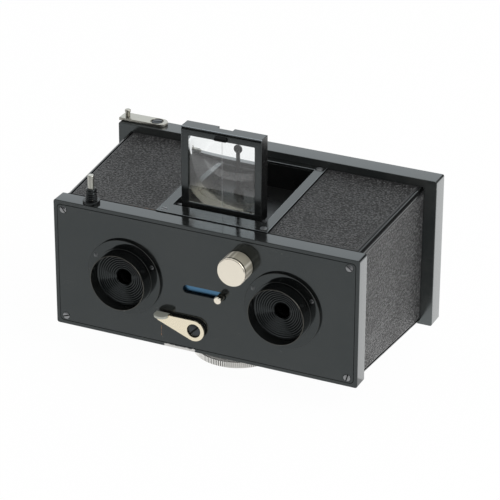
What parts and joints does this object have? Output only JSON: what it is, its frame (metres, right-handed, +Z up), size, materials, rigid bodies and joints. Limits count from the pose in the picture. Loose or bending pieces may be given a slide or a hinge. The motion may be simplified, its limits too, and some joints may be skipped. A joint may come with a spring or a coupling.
{
  "type": "stereo camera",
  "caption": "Rigid stereo plate camera with paired ringed lens hoods, folding frame finder in a top well, rear plate holder and knurled foot disc.",
  "frame": {"origin": "On the foot's axis at the mouth of the tripod socket, in the underside of the foot disc.", "axes": "+X to the right seen from the front, along the width; -Y to the front, where the lenses look; +Z up."},
  "size_m": [0.1356, 0.0762, 0.094],
  "materials": {
    "black_enamel": "glossy black baked enamel, worn at the edges",
    "satin_black": "satin black lacquer",
    "leather": "black pebble-grained leather",
    "nickel": "warm worn nickel plate",
    "steel": "plain turned steel",
    "blued_steel": "heat-blued steel",
    "brass": "plain brass",
    "lens_glass": "clear polished glass",
    "plate_glass": "coated glass plate"
  },
  "bodies": {
    "camera_body": {"front_case": "black_enamel", "front_panel": "black_enamel", "panel_screws": "nickel", "left_lens_flange": "satin_black", "right_lens_flange": "satin_black", "flange_screws": "steel", "left_lens_barrel": "satin_black", "right_lens_barrel": "satin_black", "left_front_glass": "lens_glass", "right_front_glass": "lens_glass", "glass_rings": "brass", "left_rear_cell": "satin_black", "right_rear_cell": "satin_black", "left_rear_glass": "lens_glass", "right_rear_glass": "lens_glass", "slide_guides": "brass", "shutter_plate": "brass", "shutter_plate_screws": "steel", "lever_bush": "satin_black", "release_collar": "satin_black", "spring_seat": "brass", "release_spring": "steel", "body_shell": "black_enamel", "left_top_leather": "leather", "right_top_leather": "leather", "left_side_leather": "leather", "right_side_leather": "leather", "bottom_leather": "leather", "septum": "satin_black", "finder_bezel": "black_enamel", "bezel_screws": "satin_black", "finder_tray": "satin_black", "finder_hinge_pins": "steel", "sight_bracket": "satin_black", "sight_pin": "steel", "rear_frame": "black_enamel", "latch_screw": "steel", "tripod_bush": "nickel", "bush_nut": "brass"},
    "release_button": {"release_plunger": "nickel"},
    "aperture_bar": {"aperture_strip": "blued_steel", "aperture_pin": "nickel"},
    "shutter_lever": {"lever_plate": "nickel", "lever_screw": "satin_black", "lever_crank": "steel"},
    "shutter_blade": {"shutter_bar": "satin_black"},
    "knob": {"speed_knob": "nickel", "speed_cam": "steel"},
    "finder": {"finder_frame": "black_enamel", "finder_glass": "lens_glass", "finder_catch": "satin_black"},
    "sight_arm": {"sight_tube": "satin_black"},
    "rear_sight": {"sight_stalk": "satin_black"},
    "latch": {"latch_bar": "nickel", "latch_finger_pin": "nickel"},
    "holder": {"plate_holder": "satin_black", "glass_plate": "plate_glass", "plate_spring": "steel"},
    "slide": {"dark_slide": "satin_black"},
    "foot": {"foot_disc": "nickel"}
  },
  "joints": [
    {"name": "release_press", "type": "slide", "parent": "camera_body", "child": "release_button", "axis": [0, 0, -1], "range_m": [0, 0.003], "stiffness_N_per_m": 300, "springref_m": -0.002, "deforming": ["release_spring"]},
    {"name": "aperture_slide", "type": "slide", "parent": "camera_body", "child": "aperture_bar", "axis": [-1, 0, 0], "range_m": [0, 0.0138]},
    {"name": "lever_swing", "type": "hinge", "parent": "camera_body", "child": "shutter_lever", "pos_m": [-0.00305, -0.032, 0.0219], "axis": [0, 1, 0], "range_deg": [0, 45]},
    {"name": "shutter_slide", "type": "slide", "parent": "camera_body", "child": "shutter_blade", "axis": [1, 0, 0], "range_m": [0, 0.0065]},
    {"name": "knob_turn", "type": "hinge", "parent": "camera_body", "child": "knob", "pos_m": [0.0142, -0.034, 0.0515], "axis": [0, 1, 0], "range_deg": [0, 300]},
    {"name": "finder_fold", "type": "hinge", "parent": "camera_body", "child": "finder", "pos_m": [0, -0.0135, 0.06141], "axis": [-1, 0, 0], "range_deg": [0, 87]},
    {"name": "sight_fold", "type": "hinge", "parent": "camera_body", "child": "sight_arm", "pos_m": [0, 0.0069, 0.0568], "axis": [-1, 0, 0], "range_deg": [0, 90]},
    {"name": "sight_draw", "type": "slide", "parent": "sight_arm", "child": "rear_sight", "axis": [0, 0, -1], "range_m": [0, 0.0098]},
    {"name": "latch_swing", "type": "hinge", "parent": "camera_body", "child": "latch", "pos_m": [-0.0509, 0.0353, 0.06875], "axis": [0, 0, 1], "range_deg": [0, 85]},
    {"name": "holder_slide", "type": "slide", "parent": "camera_body", "child": "holder", "axis": [-1, 0, 0], "range_m": [0, 0.115]},
    {"name": "dark_slide_pull", "type": "slide", "parent": "holder", "child": "slide", "axis": [-1, 0, 0], "range_m": [0, 0.105]},
    {"name": "foot_turn", "type": "hinge", "parent": "camera_body", "child": "foot", "pos_m": [0, 0, 0], "axis": [0, 0, 1], "continuous": true}
  ],
  "couplings": [
    {"joint": "lever_swing", "follows": "shutter_slide", "rad_per_m": 120.73},
    {"joint": "sight_fold", "follows": "finder_fold", "ratio": 1.0345},
    {"joint": "sight_draw", "follows": "finder_fold", "m_per_rad": 0.006454}
  ]
}
